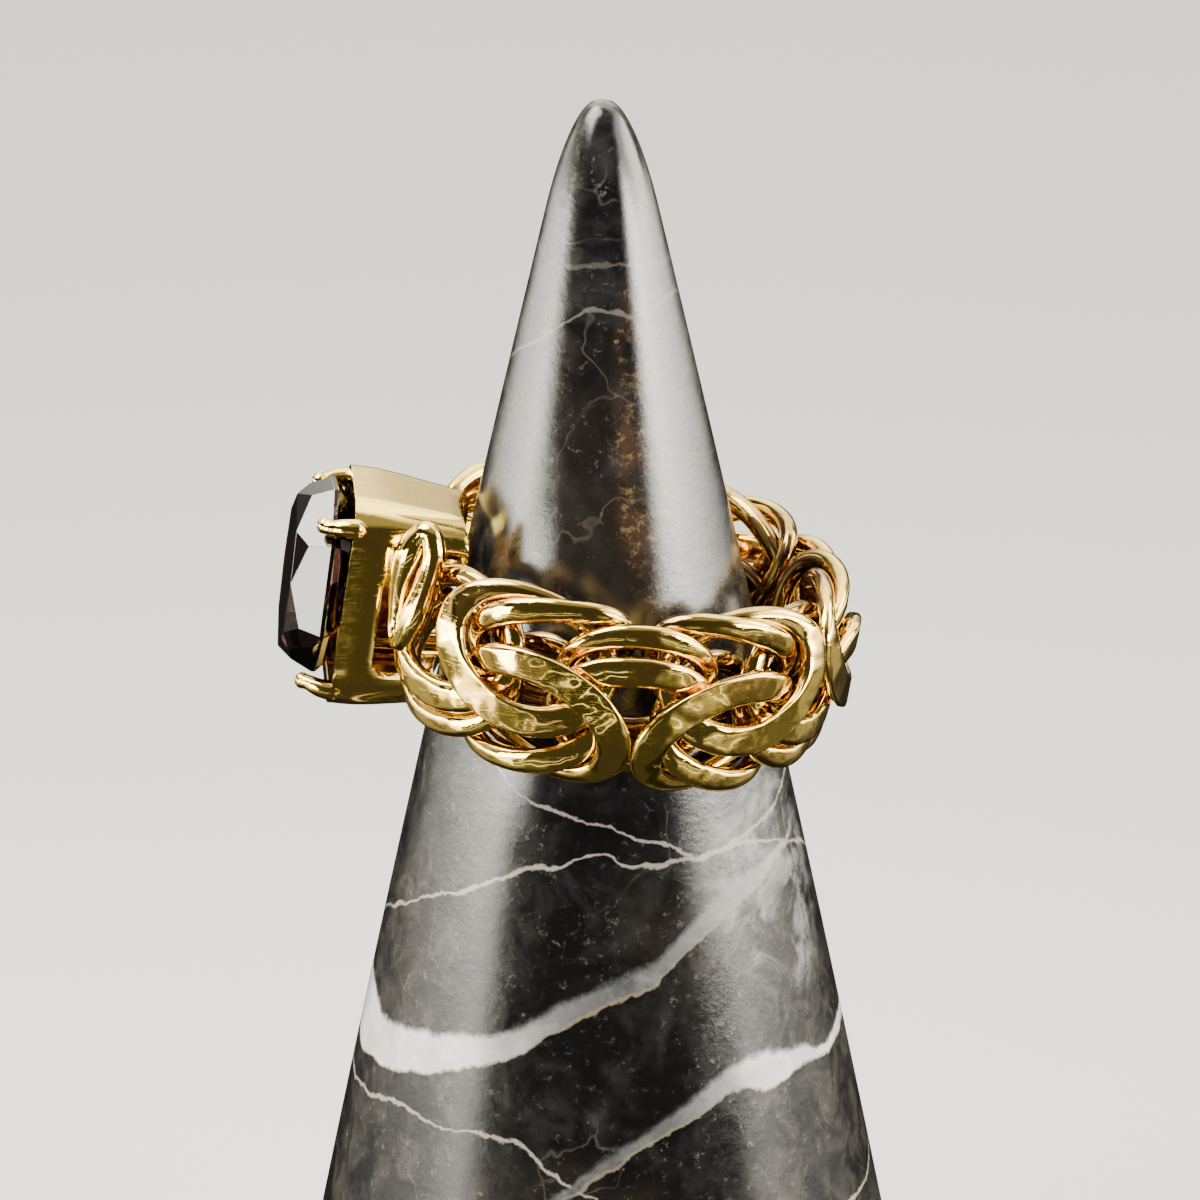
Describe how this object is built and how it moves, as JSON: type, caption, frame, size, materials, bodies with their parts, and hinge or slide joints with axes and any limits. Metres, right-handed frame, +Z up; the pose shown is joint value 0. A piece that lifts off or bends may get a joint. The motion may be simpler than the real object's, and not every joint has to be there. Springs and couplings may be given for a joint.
{
  "type": "woven ring on a cone stand",
  "caption": "Finger ring of woven gold links with a dark faceted stone in a claw setting, resting on a black marble ring cone.",
  "frame": {"origin": "centre of the cone's foot, on the surface that it rests on", "axes": "+Z up the cone's axis, -X the way the stone faces, -Y the side shown in the picture"},
  "size_m": [0.036, 0.036, 0.0754],
  "materials": {
    "gold": "polished yellow gold, worn and lightly dented",
    "dark_stone": "polished facets, nearly black with a purple-brown tinge",
    "marble": "polished black marble with white veins"
  },
  "bodies": {
    "root": {"cone_stand": "marble", "setting": "gold", "stone": "dark_stone", "joining_link_1_1": "gold", "joining_link_1_2": "gold", "joining_link_2_1": "gold", "joining_link_2_2": "gold", "joining_link_3_1": "gold", "joining_link_3_2": "gold", "joining_link_4_1": "gold", "joining_link_4_2": "gold", "joining_link_5_1": "gold", "joining_link_5_2": "gold", "joining_link_6_1": "gold", "joining_link_6_2": "gold", "knot_link_1_1": "gold", "knot_link_1_2": "gold", "knot_link_1_3": "gold", "knot_link_1_4": "gold", "knot_link_2_1": "gold", "knot_link_2_2": "gold", "knot_link_2_3": "gold", "knot_link_2_4": "gold", "knot_link_3_1": "gold", "knot_link_3_2": "gold", "knot_link_3_3": "gold", "knot_link_3_4": "gold", "knot_link_4_1": "gold", "knot_link_4_2": "gold", "knot_link_4_3": "gold", "knot_link_4_4": "gold", "knot_link_5_1": "gold", "knot_link_5_2": "gold", "knot_link_5_3": "gold", "knot_link_5_4": "gold"}
  },
  "joints": []
}
